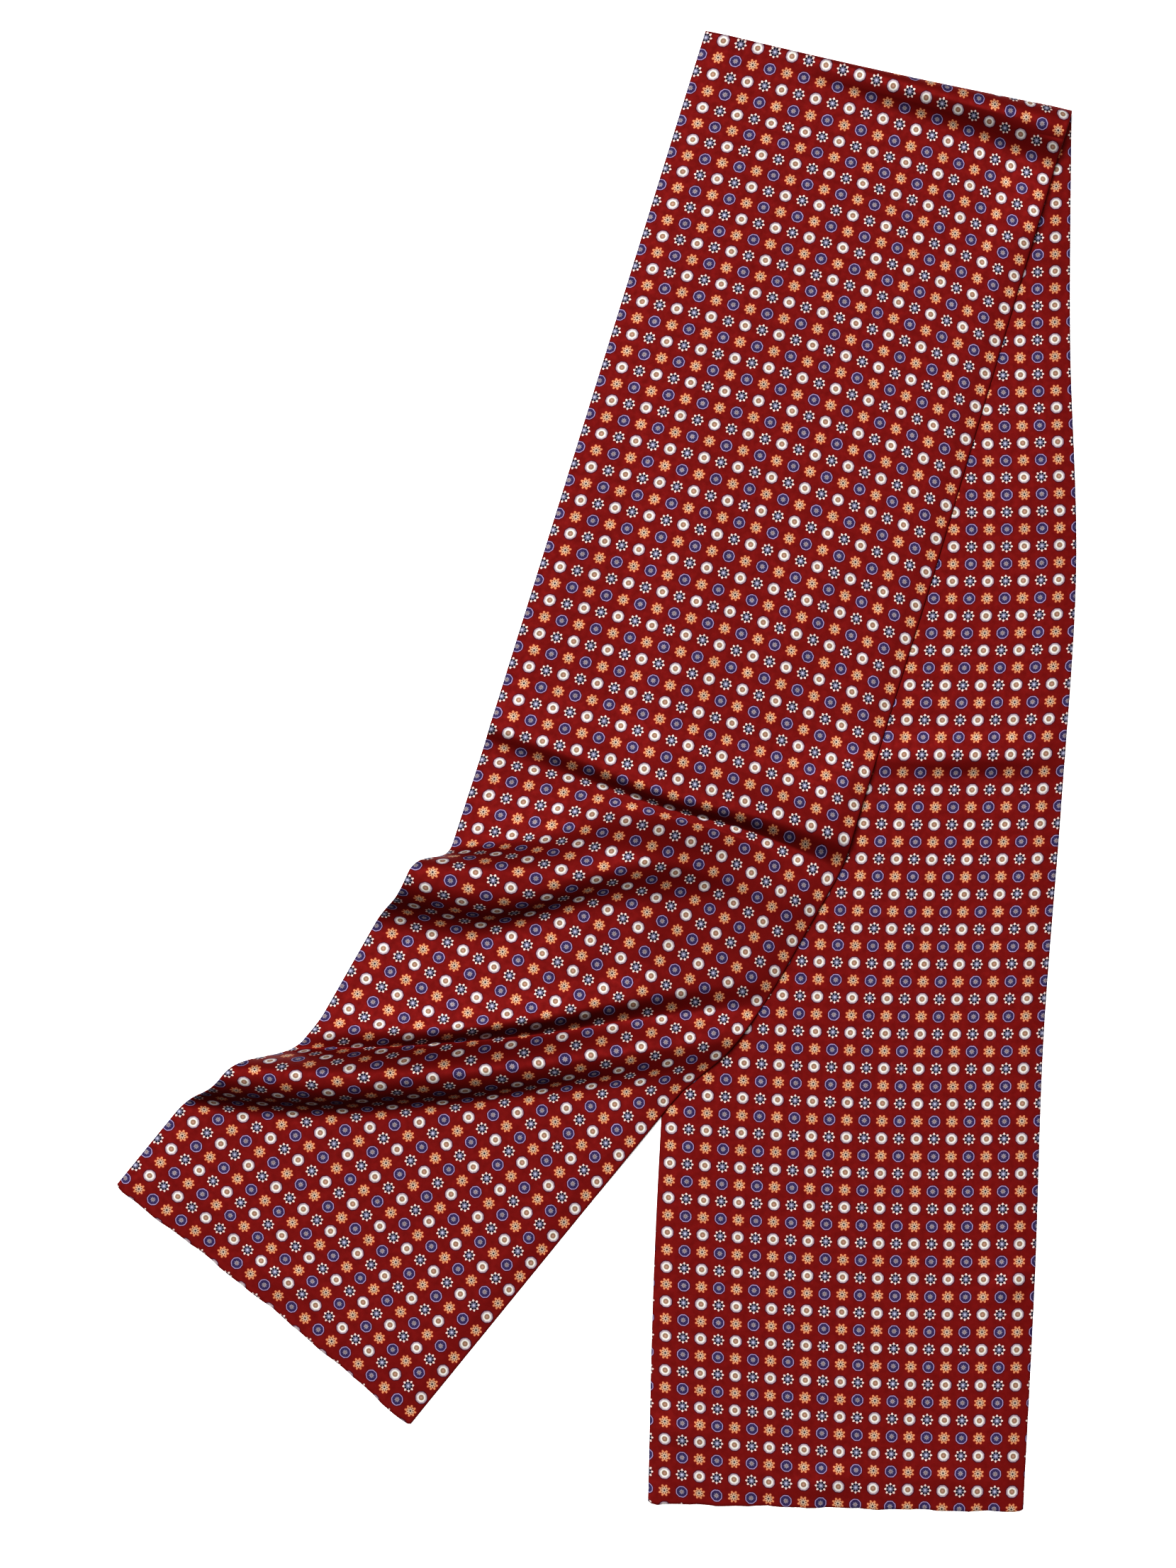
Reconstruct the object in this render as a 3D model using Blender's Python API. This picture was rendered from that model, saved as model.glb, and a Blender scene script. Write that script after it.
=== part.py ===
# Silk scarf folded across once and laid flat, as walls of cloth with narrow gaps between them
import math

import bpy
import numpy as np

MM = 0.001

# The cloth: a flat tube of two plies. Each ply is a wall, and the plies lie a gap apart.
WIDTH = 232.0 * MM
PLY_WALL = 1.0 * MM
GAP = 0.3 * MM
PAIR = 2.0 * PLY_WALL + GAP
RESTING = PAIR / 2.0
OVERLAID = RESTING + PAIR + GAP

# What brings the middle of the whole scarf's box to the origin
CENTRED = (0.3 * MM, -0.4 * MM, 0.0)

# The fold at the top: where its edge lies, how far it sags between its ends, and how far from it the turn's
# pieces meet the two halves, on the left and on the right
FOLD_LEFT = (66.2 * MM, 453.1 * MM)
FOLD_SAG = 2.2 * MM
FOLD_SKEW = 17.0 * MM
ROLL_FOOT = (9.0 * MM, 20.0 * MM)
UNDER_FOOT = 12.0 * MM

# The soft roll along the fold, as five values in mm across the width: how high it stands over the flat lie,
# how far from the fold's edge the middle of its fall is, and how long the fall is
ROLL = dict(
    rise=(0.4, 0.7, 5, 9.5, 11),
    place=(7, 7, 12.5, 20, 27),
    length=(10, 10, 18, 26, 34),
)
ROLL_END = 48.0 * MM

# The upper half: its first heading, its length from the fold, and the length its soft waves take up near the
# fold, where the right edge is drawn in as well, from a share of the width on
UPPER_HEADING = 17.25
UPPER_LENGTH = 898.0 * MM
EASE_LENGTH = 280.0 * MM
EASE = 8.6 * MM
DRAWN_IN = 3.4 * MM
DRAWN_IN_FROM = 0.55

# The two turns of the upper half: degrees, and the pivot across and along the cloth from the fold's left end
TURNS = (
    dict(turn=12.4, across=198.0 * MM, along=469.0 * MM),
    dict(turn=9.5, across=241.0 * MM, along=525.0 * MM),
)

# The slopes of the upper half, which hand the cloth over from one turn to the next, so that it ripples. Each
# column but the first holds five values across the width, from the left edge to the right one: the slope's
# place along the cloth and its length in mm, the share of the turn that it takes, its rise in mm (a fall is
# negative) and its slide outwards along the ripple in mm.
SLOPES = {
    "roof_rise": dict(
        turn=0,
        place=(436, 438, 440, 438, 436),
        length=(42, 42, 42, 42, 42),
        share=(0, 0, 0, 0, 0),
        rise=(1, 5, 8, 8, 4),
        slide=(0, 0, 0, 0, 0),
    ),
    "crease_fall": dict(
        turn=0,
        place=(465, 468, 473, 469, 467),
        length=(32, 32, 32, 32, 32),
        share=(0.05, 0.18, 0.52, 0.86, 1),
        rise=(-1, -5, -9, -9, -4),
        slide=(0, 0, 0, 0, 0),
    ),
    "shoulder_rise": dict(
        turn=0,
        place=(505, 500, 497, 490, 485),
        length=(38, 38, 38, 38, 38),
        share=(0, 0, 0, 0, 0),
        rise=(0, 5, 14, 8, 1),
        slide=(0, 0, 0, 0, 0),
    ),
    "first_rise": dict(
        turn=0,
        place=(552, 528, 508, 497, 497),
        length=(58, 48, 44, 44, 44),
        share=(0.52, 0.31, 0.04, 0, 0),
        rise=(26, 18, 3, 0, 0),
        slide=(5, 3, 0, 0, 0),
    ),
    "first_fall": dict(
        turn=0,
        place=(609, 585, 536, 512, 512),
        length=(56, 54, 48, 36, 34),
        share=(0.43, 0.51, 0.44, 0.14, 0),
        rise=(-26, -18, -8, -2, 0),
        slide=(-5, -3, 0, 0, 0),
    ),
    "groove_fall": dict(
        turn=1,
        place=(716, 684, 642, 592, 550),
        length=(36, 32, 30, 28, 28),
        share=(0.08, 0.15, 0.20, 0.15, 0.10),
        rise=(0, -5, -8, -5, -1),
        slide=(2, 2, 1, 0, 0),
    ),
    "second_rise": dict(
        turn=1,
        place=(750, 712, 668, 618, 574),
        length=(58, 52, 48, 44, 40),
        share=(0.46, 0.37, 0.30, 0.20, 0.20),
        rise=(28, 25, 18, 10, 4),
        slide=(12, 9, 5, 1, 0),
    ),
    "second_fall": dict(
        turn=1,
        place=(808, 769, 720, 663, 612),
        length=(68, 66, 62, 58, 60),
        share=(0.46, 0.48, 0.50, 0.65, 0.70),
        rise=(-28, -25, -18, -10, -4),
        slide=(-14, -11, -6, -1, 0),
    ),
}

# The under half, ruled between its two long edges from the fold to its end, at equal shares of its length:
# x and y in mm of each edge, after the fold itself
UNDER_STATIONS = (
    dict(left=(57.5, 302.1), right=(289.5, 264.7)),
    dict(left=(60.1, 151.0), right=(293.2, 123.7)),
    dict(left=(51.9, 0.0), right=(284.1, -19.5)),
    dict(left=(42.7, -150.6), right=(273.2, -163.2)),
    dict(left=(34.9, -300.3), right=(268.0, -307.3)),
    dict(left=(31.0, -447.9), right=(260.6, -453.1)),
)

# The rows of the grid from the line before it to the middle of each steep slope, then to the ripples' end
RIPPLE_ROWS = {
    "crease_fall": 7,
    "first_rise": 8,
    "first_fall": 8,
    "groove_fall": 11,
    "second_rise": 6,
    "second_fall": 8,
}
LAST_RIPPLE_ROWS = 6
ROLL_ROWS = 7
UPPER_FLAT_ROWS = 12
ROW_COUNTS = (ROLL_ROWS, UPPER_FLAT_ROWS, *RIPPLE_ROWS.values(), LAST_RIPPLE_ROWS)

# How far outside the under half the upper half stays up, and how long its way down to the surface is
STEP_OUT = 12.0 * MM
STEP_DOWN = 32.0 * MM

# The grids: cells across, then rows along each piece
CELLS_ACROSS = 12
UPPER_END_ROWS = 3
RIPPLES_START = 412.0 * MM
RIPPLES_END = 848.0 * MM
UNDER_ROWS = 24
TURN_CELLS = 10
FOOT_CELLS = 5

# The angles in degrees through a ply's rounded side edge, and its rounded end: how many walls each row is
# from the end, and the share of the wall that is left there
SIDE_ANGLES = (0.0, 40.0, 90.0)
END_ROWS = ((1.0, 1.0), (0.3, 0.71), (0.0, 0.35))

SILK_RED = (0.185, 0.010, 0.008, 1.0)
SILK_INSIDE = (0.160, 0.012, 0.010, 1.0)


def smooth(x):
    """0 below 0, 1 above 1, and an even S-curve between."""
    x = np.clip(x, 0.0, 1.0)
    return x * x * (3.0 - 2.0 * x)


def curve_through(values, position):
    """The smooth curve through equally spaced values, read at a position from 0 to 1."""
    v = np.asarray(values, dtype=float)
    before = 2.0 * v[:1] - v[1:2]
    after = 2.0 * v[-1:] - v[-2:-1]
    v = np.concatenate([before, v, after])
    steps = len(values) - 1
    place = np.clip(position, 0.0, 1.0) * steps
    k = np.minimum(place.astype(int), steps - 1)
    t = place - k
    p0, p1, p2, p3 = v[k], v[k + 1], v[k + 2], v[k + 3]
    bend = 2.0 * p0 - 5.0 * p1 + 4.0 * p2 - p3
    twist = 3.0 * p1 - p0 - 3.0 * p2 + p3
    return 0.5 * (2.0 * p1 + (p2 - p0) * t + bend * t**2 + twist * t**3)


def turned(x, y, degrees, pivot):
    """Points turned clockwise, seen from above, about a pivot."""
    angle = math.radians(degrees)
    dx = x - pivot[0]
    dy = y - pivot[1]
    return (
        pivot[0] + dx * math.cos(angle) + dy * math.sin(angle),
        pivot[1] - dx * math.sin(angle) + dy * math.cos(angle),
    )


def flat_lie(across, along):
    """Where the upper half would lie if it kept its first heading."""
    heading = math.radians(UPPER_HEADING)
    left_over = np.clip(1.0 - along / EASE_LENGTH, 0.0, 1.0)
    along = along + EASE * (left_over**2 - 1.0)
    drawn = smooth((across / WIDTH - DRAWN_IN_FROM) / (1.0 - DRAWN_IN_FROM))
    across = across - DRAWN_IN * left_over * drawn
    x = FOLD_LEFT[0] + across * math.cos(heading) - along * math.sin(heading)
    y = FOLD_LEFT[1] - across * math.sin(heading) - along * math.cos(heading)
    return x, y


def lies_of(across, along):
    """The three flat lies of the upper half: its first heading, then after each turn."""
    lies = [flat_lie(across, along)]
    pivots = [flat_lie(turn["across"], turn["along"]) for turn in TURNS]
    second_pivot = turned(*pivots[1], TURNS[0]["turn"], pivots[0])
    lies.append(turned(*lies[0], TURNS[0]["turn"], pivots[0]))
    lies.append(turned(*lies[1], TURNS[1]["turn"], second_pivot))
    return lies


def height_under(x, y):
    """The height that the upper half's middle lies at: over the under half, or down on the surface."""
    edge_points = sorted((station["left"][1] * MM, station["left"][0] * MM) for station in UNDER_STATIONS)
    edge_points.append((FOLD_LEFT[1], FOLD_LEFT[0]))
    edge = np.interp(y, [point[0] for point in edge_points], [point[1] for point in edge_points])
    up = smooth((x - edge + STEP_OUT + STEP_DOWN) / STEP_DOWN)
    return RESTING + (OVERLAID - RESTING) * up


def fold_along(across):
    """How far along the upper half the fold's edge is, counted from the fold's left end."""
    position = across / WIDTH
    return FOLD_SAG * 4.0 * position * (1.0 - position) - FOLD_SKEW * position


def roll_lift(across, from_fold):
    """How high the roll along the fold lifts the upper half, at a distance from the fold's edge."""
    position = across / WIDTH
    rise = curve_through(ROLL["rise"], position) * MM
    place = curve_through(ROLL["place"], position) * MM
    length = curve_through(ROLL["length"], position) * MM
    return rise * (1.0 - smooth((from_fold - place) / length + 0.5))


def upper_middle(across, along):
    """The middle of the upper half's two plies, with its turns, ripples and step down."""
    lies = lies_of(across, along)
    x, y = lies[0]
    lift = np.zeros_like(x)
    position = across / WIDTH
    for slope in SLOPES.values():
        start = curve_through(slope["place"], position) * MM
        length = curve_through(slope["length"], position) * MM
        done = smooth((along - start) / length + 0.5)
        move_x = lies[slope["turn"] + 1][0] - lies[slope["turn"]][0]
        move_y = lies[slope["turn"] + 1][1] - lies[slope["turn"]][1]
        share = curve_through(slope["share"], position) * done
        slide = curve_through(slope["slide"], position) * MM * done / (np.hypot(move_x, move_y) + MM)
        x = x + share * move_x - slide * move_y
        y = y + share * move_y + slide * move_x
        lift = lift + curve_through(slope["rise"], position) * MM * done
    lift = np.maximum(lift, 0.0) + roll_lift(across, along - fold_along(across))
    return np.stack([x, y, height_under(x, y) + lift], axis=-1)


def edge_columns(side):
    """The x and the y, in metres, of one long edge of the under half, from the fold's edge to its end."""
    across = np.array([0.0 if side == "left" else WIDTH])
    fold_end = upper_middle(across, fold_along(across))[0, :2]
    points = [fold_end] + [np.array(station[side]) * MM for station in UNDER_STATIONS]
    return np.transpose(points)


def under_plan(across, share):
    """Where the under half lies, at a share of its length from the fold."""
    position = across / WIDTH
    left_x, left_y = (curve_through(column, share) for column in edge_columns("left"))
    right_x, right_y = (curve_through(column, share) for column in edge_columns("right"))
    x = left_x + (right_x - left_x) * position
    y = left_y + (right_y - left_y) * position
    return x, y


def under_middle(across, share):
    """The middle of the under half's two plies, flat on the surface."""
    x, y = under_plan(across, share)
    return np.stack([x, y, np.full_like(x, RESTING)], axis=-1)


def under_foot_share(across):
    """The share of the under half's length at which the fold's turn ends."""
    return UNDER_FOOT / (UPPER_LENGTH - fold_along(across))


def roll_foot(across):
    """How far from the fold's edge, along the cloth, the roll meets the flat of the upper half."""
    return ROLL_FOOT[0] + (ROLL_FOOT[1] - ROLL_FOOT[0]) * across / WIDTH


def fold_middle(across):
    """The middle of the plies through the turn: rows from the upper half's side, round, to the under half."""
    edge = upper_middle(across, fold_along(across))[:, :2]
    foot_share = under_foot_share(across)
    up = upper_middle(across, fold_along(across) + roll_foot(across))[:, :2] - edge
    under = np.column_stack(under_plan(across, foot_share)) - edge
    foot_up = np.linalg.norm(up, axis=-1, keepdims=True)
    foot_under = np.linalg.norm(under, axis=-1, keepdims=True)
    up /= foot_up
    under /= foot_under
    top = OVERLAID + roll_lift(across, np.zeros_like(across))[:, None]
    radius = (top - RESTING) / 2.0
    rows = []
    for k in range(FOOT_CELLS):
        distance = foot_up - GAP + (radius - foot_up + GAP) * k / FOOT_CELLS
        height = OVERLAID + roll_lift(across, distance[:, 0])[:, None]
        rows.append(np.hstack([edge + up * distance, height]))
    for k in range(TURN_CELLS + 1):
        angle = math.pi / 2.0 - math.pi * k / TURN_CELLS
        distance = radius * (1.0 - math.cos(angle))
        height = RESTING + radius * (1.0 + math.sin(angle))
        side = up if angle > 0.0 else under
        rows.append(np.hstack([edge + side * distance, height]))
    rows.append(np.hstack([edge + under * (foot_under - GAP), np.full_like(top, RESTING)]))
    return np.stack(rows)


def normals_of(middle):
    """The upward side's normals of a grid of points, rows along by columns across."""
    along = np.gradient(middle, axis=0)
    across = np.gradient(middle, axis=1)
    normals = np.cross(along, across)
    return normals / np.linalg.norm(normals, axis=-1, keepdims=True)


def ring_columns():
    """One ply's section across: places across the width and heights through the ply, once round."""
    inner = GAP / 2.0
    inside = np.linspace(0.0, WIDTH, CELLS_ACROSS + 1)[1:-1]
    angles = [math.radians(angle) for angle in SIDE_ANGLES]
    left = [(PLY_WALL * (1.0 - math.cos(a)), inner + PLY_WALL * math.sin(a)) for a in angles]
    right = [(WIDTH - place, height) for place, height in reversed(left)]
    outer = left + [(place, inner + PLY_WALL) for place in inside] + right
    return outer + [(place, inner) for place in reversed(inside)]


def ply_rings(middle_of, side, walls):
    """A ply's rings of points along the cloth. Side is 1 for the ply above the middle and -1 for the one
    below, and walls is the share of the full wall at each row."""
    ring = ring_columns()
    places = np.array([place for place, height in ring])
    heights = np.array([height for place, height in ring])
    across = np.unique(places)
    middle = middle_of(across)
    normals = normals_of(middle)
    column = np.searchsorted(across, places)
    inner = GAP / 2.0
    through = inner + (heights - inner) * walls[:, None]
    return middle[:, column] + side * through[..., None] * normals[:, column]


def closed_mesh(name, rings, inward):
    """A mesh of triangles through the rings, capped at both ends. Both sides of a ply, and both plies, are
    split along the same diagonals, so that the gap between them stays even."""
    count, around, _ = rings.shape
    top = around - CELLS_ACROSS + 1
    faces = []
    for row in range(count - 1):
        for k in range(around):
            n = (k + 1) % around
            a = row * around
            b = a + around
            if k < top - 1:
                faces.extend([(a + k, a + n, b + n), (a + k, b + n, b + k)])
            else:
                faces.extend([(a + k, a + n, b + k), (a + n, b + n, b + k)])
    last = (count - 1) * around
    faces.extend(tuple(reversed(face)) for face in cap_faces(0, around, top))
    faces.extend(cap_faces(last, around, top))
    if inward:
        faces = [tuple(reversed(face)) for face in faces]
    mesh = bpy.data.meshes.new(name)
    mesh.from_pydata(rings.reshape(-1, 3).tolist(), [], faces)
    mesh.update()
    return mesh


def cap_faces(base, around, top):
    """The faces that close one ring: its outer points are matched with its inner ones."""
    outer = list(range(top))
    inner = list(range(around - 1, top - 1, -1))
    rounded = (top - len(inner)) // 2
    left = [base + k for k in outer[:rounded]]
    right = [base + k for k in outer[top - rounded:]]
    upper = [base + k for k in outer[rounded:top - rounded]]
    lower = [base + k for k in inner]
    faces = [tuple([*left, upper[0], lower[0]]), tuple([lower[-1], upper[-1], *right])]
    for k in range(len(inner) - 1):
        faces.append((lower[k], upper[k], upper[k + 1], lower[k + 1]))
    return faces


def add_piece(name, rings, side, colour, parent):
    """One node: its mesh, its own silk material, and its parent."""
    mesh = closed_mesh(name, rings, inward=side > 0)
    piece = bpy.data.objects.new(name, mesh)
    bpy.context.scene.collection.objects.link(piece)
    piece.parent = parent
    silk = bpy.data.materials.new(name + "_silk")
    silk.use_nodes = True
    shader = silk.node_tree.nodes["Principled BSDF"]
    shader.inputs["Base Color"].default_value = colour
    shader.inputs["Roughness"].default_value = 0.45
    shader.inputs["Metallic"].default_value = 0.0
    mesh.materials.append(silk)
    return piece


def with_end(rows, length):
    """Rows as shares of a length, with those that round off its end, and the share of the wall at each."""
    edge = PLY_WALL / length
    rounding = [1.0 - edge * walls_away for walls_away, _ in END_ROWS]
    walls_left = [left for _, left in END_ROWS]
    return np.concatenate([rows, rounding]), np.concatenate([np.ones(len(rows)), walls_left])


def grid_lines(across):
    """The lines that the upper half's grid follows: where the fold's turn ends, the end of the roll, the start of
    the ripples, the middle of each steep slope, and the end of the ripples."""
    position = across / WIDTH
    lines = [fold_along(across) + roll_foot(across), fold_along(across) + ROLL_END]
    lines.append(np.full_like(across, RIPPLES_START))
    lines += [curve_through(SLOPES[name]["place"], position) * MM for name in RIPPLE_ROWS]
    lines.append(np.full_like(across, RIPPLES_END))
    return lines


def upper_along(across):
    """How far along the cloth each point of the upper half's grid is: rows by columns across."""
    lines = grid_lines(across)
    rows = []
    for line, following, count in zip(lines, lines[1:], ROW_COUNTS):
        for share in np.linspace(0.0, 1.0, count, endpoint=False):
            rows.append(line + (following - line) * share)
    end, _ = end_rows()
    for share in end:
        rows.append(lines[-1] + (UPPER_LENGTH - lines[-1]) * share)
    return np.stack(rows)


def end_rows():
    """The shares of the flat end of the upper half that its rows lie at, and the walls there."""
    return with_end(np.linspace(0.0, 1.0, UPPER_END_ROWS, endpoint=False), UPPER_LENGTH - RIPPLES_END)


def upper_walls():
    """The share of the full wall at each row of the upper half."""
    _, walls = end_rows()
    return np.concatenate([np.ones(sum(ROW_COUNTS)), walls])


def upper_grid(across):
    """The upper half's middle at all its rows."""
    along = upper_along(across)
    return upper_middle(np.broadcast_to(across, along.shape), along)


def under_grid(across):
    """The under half's middle at all its rows."""
    rows, _ = with_end(np.linspace(0.0, 1.0, UNDER_ROWS, endpoint=False), UPPER_LENGTH)
    start = under_foot_share(across)
    share = start[None, :] + (1.0 - start[None, :]) * rows[:, None]
    return under_middle(np.broadcast_to(across, share.shape), share)


def build():
    """All the pieces of the scarf."""
    for obj in list(bpy.data.objects):
        bpy.data.objects.remove(obj, do_unlink=True)
    scarf = bpy.data.objects.new("scarf", None)
    scarf.location = CENTRED
    bpy.context.scene.collection.objects.link(scarf)
    _, under_walls = with_end(np.zeros(UNDER_ROWS), UPPER_LENGTH)
    fold_walls = np.ones(FOOT_CELLS + TURN_CELLS + 2)
    pieces = (
        ("upper_half_face", upper_grid, 1.0, upper_walls(), SILK_RED),
        ("upper_half_back", upper_grid, -1.0, upper_walls(), SILK_INSIDE),
        ("under_half_face", under_grid, 1.0, under_walls, SILK_RED),
        ("under_half_back", under_grid, -1.0, under_walls, SILK_INSIDE),
        ("top_fold_outer", fold_middle, -1.0, fold_walls, SILK_RED),
        ("top_fold_inner", fold_middle, 1.0, fold_walls, SILK_INSIDE),
    )
    for name, middle_of, side, walls, colour in pieces:
        add_piece(name, ply_rings(middle_of, side, walls), side, colour, scarf)


build()
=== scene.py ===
"""The looks of a silk scarf: a flat tube of printed twill, folded across once and laid flat.

One closed skin stands for the whole cloth. Its middle surface is worked out first, row by row from the upper
half's end, round the fold at the top, and down to the under half's end. The skin then lies half a cloth's
thickness to each side of it.
"""
from __future__ import annotations

import logging
import math
from collections.abc import Iterable
from dataclasses import dataclass, field
from enum import Enum

import bpy
import numpy as np
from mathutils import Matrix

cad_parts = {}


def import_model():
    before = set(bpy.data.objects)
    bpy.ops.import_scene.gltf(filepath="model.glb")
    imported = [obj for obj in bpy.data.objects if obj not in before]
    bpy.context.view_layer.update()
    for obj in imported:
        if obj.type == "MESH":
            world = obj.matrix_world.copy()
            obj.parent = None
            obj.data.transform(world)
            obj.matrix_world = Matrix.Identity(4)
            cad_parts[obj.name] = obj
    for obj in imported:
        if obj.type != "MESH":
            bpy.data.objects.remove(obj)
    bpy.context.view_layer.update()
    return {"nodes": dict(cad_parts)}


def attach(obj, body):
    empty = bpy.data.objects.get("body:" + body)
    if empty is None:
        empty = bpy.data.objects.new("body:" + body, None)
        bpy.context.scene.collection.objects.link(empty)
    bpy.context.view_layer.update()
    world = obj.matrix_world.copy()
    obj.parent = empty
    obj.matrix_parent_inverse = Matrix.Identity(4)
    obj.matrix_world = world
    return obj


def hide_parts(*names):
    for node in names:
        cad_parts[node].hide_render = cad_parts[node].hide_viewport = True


LOG = logging.getLogger("silk_scarf")
MM = 0.001
Array = np.ndarray
Five = tuple[float, float, float, float, float]
Marks = tuple[tuple[float, float], ...]
NONE: Five = (0, 0, 0, 0, 0)

# The picture's contrast as a power about middle grey, the light on flat cloth, and the palest dye there is
MIDDLE_GREY = 0.18
CONTRAST = 1.5
CLOTH_LIGHT = 1.45
PALEST = 0.92

# How far the scarf and the camera are moved, so that the scarf's box lies round the frame's middle
CENTRING = (0.3 * MM, -0.4 * MM)


# ---- Curves and helpers ----


def smooth(x: Array) -> Array:
    """An S-curve: 0 below 0, 1 above 1, and 3x^2 - 2x^3 between."""
    x = np.clip(x, 0.0, 1.0)
    return x * x * (3.0 - 2.0 * x)


def curve_through(values: Array | Five, position: Array) -> Array:
    """The smooth curve through equally spaced values: a Catmull-Rom spline, run on straight past its ends.

    Args:
        values: the values, the first at position 0 and the last at position 1.
        position: where to read the curve, from 0 to 1.

    Returns:
        The curve's value at each position.
    """
    v = np.asarray(values, dtype=float)
    v = np.concatenate([2.0 * v[:1] - v[1:2], v, 2.0 * v[-1:] - v[-2:-1]])
    steps = len(values) - 1
    place = np.clip(position, 0.0, 1.0) * steps
    k = np.minimum(place.astype(int), steps - 1)
    t = place - k
    p0, p1, p2, p3 = v[k], v[k + 1], v[k + 2], v[k + 3]
    bend = 2.0 * p0 - 5.0 * p1 + 4.0 * p2 - p3
    twist = 3.0 * p1 - p0 - 3.0 * p2 + p3
    return 0.5 * (2.0 * p1 + (p2 - p0) * t + bend * t**2 + twist * t**3)


def arc(position: Array) -> Array:
    """A shallow arc from edge to edge: 4x(1 - x), which is 0 at both edges and 1 in the middle."""
    return 4.0 * position * (1.0 - position)


def unit(vectors: Array) -> Array:
    """Vectors of the same directions, each 1 long."""
    return vectors / np.linalg.norm(vectors, axis=-1, keepdims=True)


def in_metres(*marks: tuple[float, float]) -> Marks:
    """Places that are given in mm."""
    return tuple((x * MM, y * MM) for x, y in marks)


def turned(x: Array, y: Array, degrees: float, pivot: tuple[Array, Array]) -> tuple[Array, Array]:
    """Points turned clockwise about a pivot, seen from above.

    Args:
        x: the points' x.
        y: the points' y.
        degrees: the angle.
        pivot: the pivot's x and y.

    Returns:
        The turned points' x and y.
    """
    cos, sin = math.cos(math.radians(degrees)), math.sin(math.radians(degrees))
    dx, dy = x - pivot[0], y - pivot[1]
    return pivot[0] + dx * cos + dy * sin, pivot[1] - dx * sin + dy * cos


def dye(red: int, green: int, blue: int, bright: float = 1.0) -> tuple[float, float, float, float]:
    """The cloth's own colour where the picture is to show a given one on flat cloth.

    The screen's curve is undone here, and then the picture's contrast, which is close to a power about middle
    grey. What is left is divided by the light on flat cloth.

    Args:
        red: the shown red, 0 to 255.
        green: the shown green.
        blue: the shown blue.
        bright: how much brighter still, for whites that the picture shows as bright as it can.

    Returns:
        Red, green, blue and full alpha.
    """
    parts = (value / 255.0 for value in (red, green, blue))
    shown = ((p / 12.92 if p < 0.04045 else ((p + 0.055) / 1.055) ** 2.4) for p in parts)
    light = (MIDDLE_GREY * (value / MIDDLE_GREY) ** (1.0 / CONTRAST) for value in shown)
    return (*(min(bright * value / CLOTH_LIGHT, PALEST) for value in light), 1.0)


def placed(name: str, data: bpy.types.ID) -> bpy.types.Object:
    """A new object, linked to the scene.

    Args:
        name: the object's name.
        data: its mesh, lamp or camera.

    Returns:
        The object.
    """
    made = bpy.data.objects.new(name, data)
    bpy.context.scene.collection.objects.link(made)
    return made


# ---- The cloth's shape ----


@dataclass(frozen=True)
class Turn:
    """A turn of the upper half in its own plane: its angle, and its pivot across and along the cloth in mm."""

    degrees: float
    across: float
    along: float


@dataclass(frozen=True)
class Slope:
    """A slope across the upper half, as five values from its left edge to its right one.

    It takes a share of its turn, rises (or falls, where negative) and slides outwards along the ripple. The
    place is its middle along the cloth; place, length, rise and slide are in mm. It rises over the steep share
    of its length, and may do so some mm ahead of its place. Where the grid follows the slope, rows is how
    many rows it has from there to the next line.
    """

    turn: int
    place: Five
    length: Five
    rise: Five
    share: Five = NONE
    slide: Five = NONE
    steep: float = 1.0
    ahead: Five = NONE
    rows: int = 0


RIPPLE_SLOPES = {
    "roof_rise": Slope(0, (436, 438, 440, 438, 436), (42, 42, 42, 42, 42), rise=(1, 5, 8, 8, 4)),
    "crease_fall": Slope(
        0, (465, 468, 473, 469, 467), (32, 32, 32, 32, 32), rise=(-1, -5, -9, -9, -4), rows=20,
        share=(0.05, 0.18, 0.52, 0.86, 1), steep=0.42, ahead=(3, 3, 3, 3, 3),
    ),
    "shoulder_rise": Slope(0, (505, 500, 497, 490, 485), (38, 38, 38, 38, 38), rise=(0, 6, 18, 12, 2)),
    "first_rise": Slope(
        0, (555, 530, 508, 497, 497), (48, 44, 44, 44, 44), rise=(26, 18, 3, 0, 0), rows=22,
        share=(0.60, 0.36, 0.04, 0, 0), slide=(9, 5, 0, 0, 0),
    ),
    "first_fall": Slope(
        0, (609, 585, 536, 512, 512), (56, 54, 48, 36, 34), rise=(-26, -18, -10, -5, -1), rows=24,
        share=(0.35, 0.46, 0.44, 0.14, 0), slide=(-9, -5, 0, 0, 0), steep=1.05, ahead=(-2.5, -3, -1, 7, 14),
    ),
    "groove_fall": Slope(
        1, (716, 684, 642, 592, 550), (36, 32, 30, 28, 28), rise=(0, -6, -10, -6, -1), rows=32,
        share=(0.08, 0.15, 0.20, 0.15, 0.10), slide=(2, 2, 1, 0, 0), steep=0.75, ahead=(-5, -6, -8, -6, -2),
    ),
    "second_rise": Slope(
        1, (750, 712, 668, 618, 574), (58, 52, 48, 44, 40), rise=(28, 25, 18, 10, 4), rows=18,
        share=(0.54, 0.42, 0.32, 0.20, 0.20), slide=(12, 9, 5, 1, 0), steep=0.75, ahead=(-4, -5, -6, -4, -2),
    ),
    "second_fall": Slope(
        1, (808, 769, 720, 663, 612), (68, 66, 62, 58, 60), rise=(-28, -25, -18, -10, -4), rows=24,
        share=(0.38, 0.43, 0.48, 0.65, 0.70), slide=(-14, -11, -6, -1, 0), steep=0.85, ahead=(0, 0, 2.5, 5, 8),
    ),
}


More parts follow.
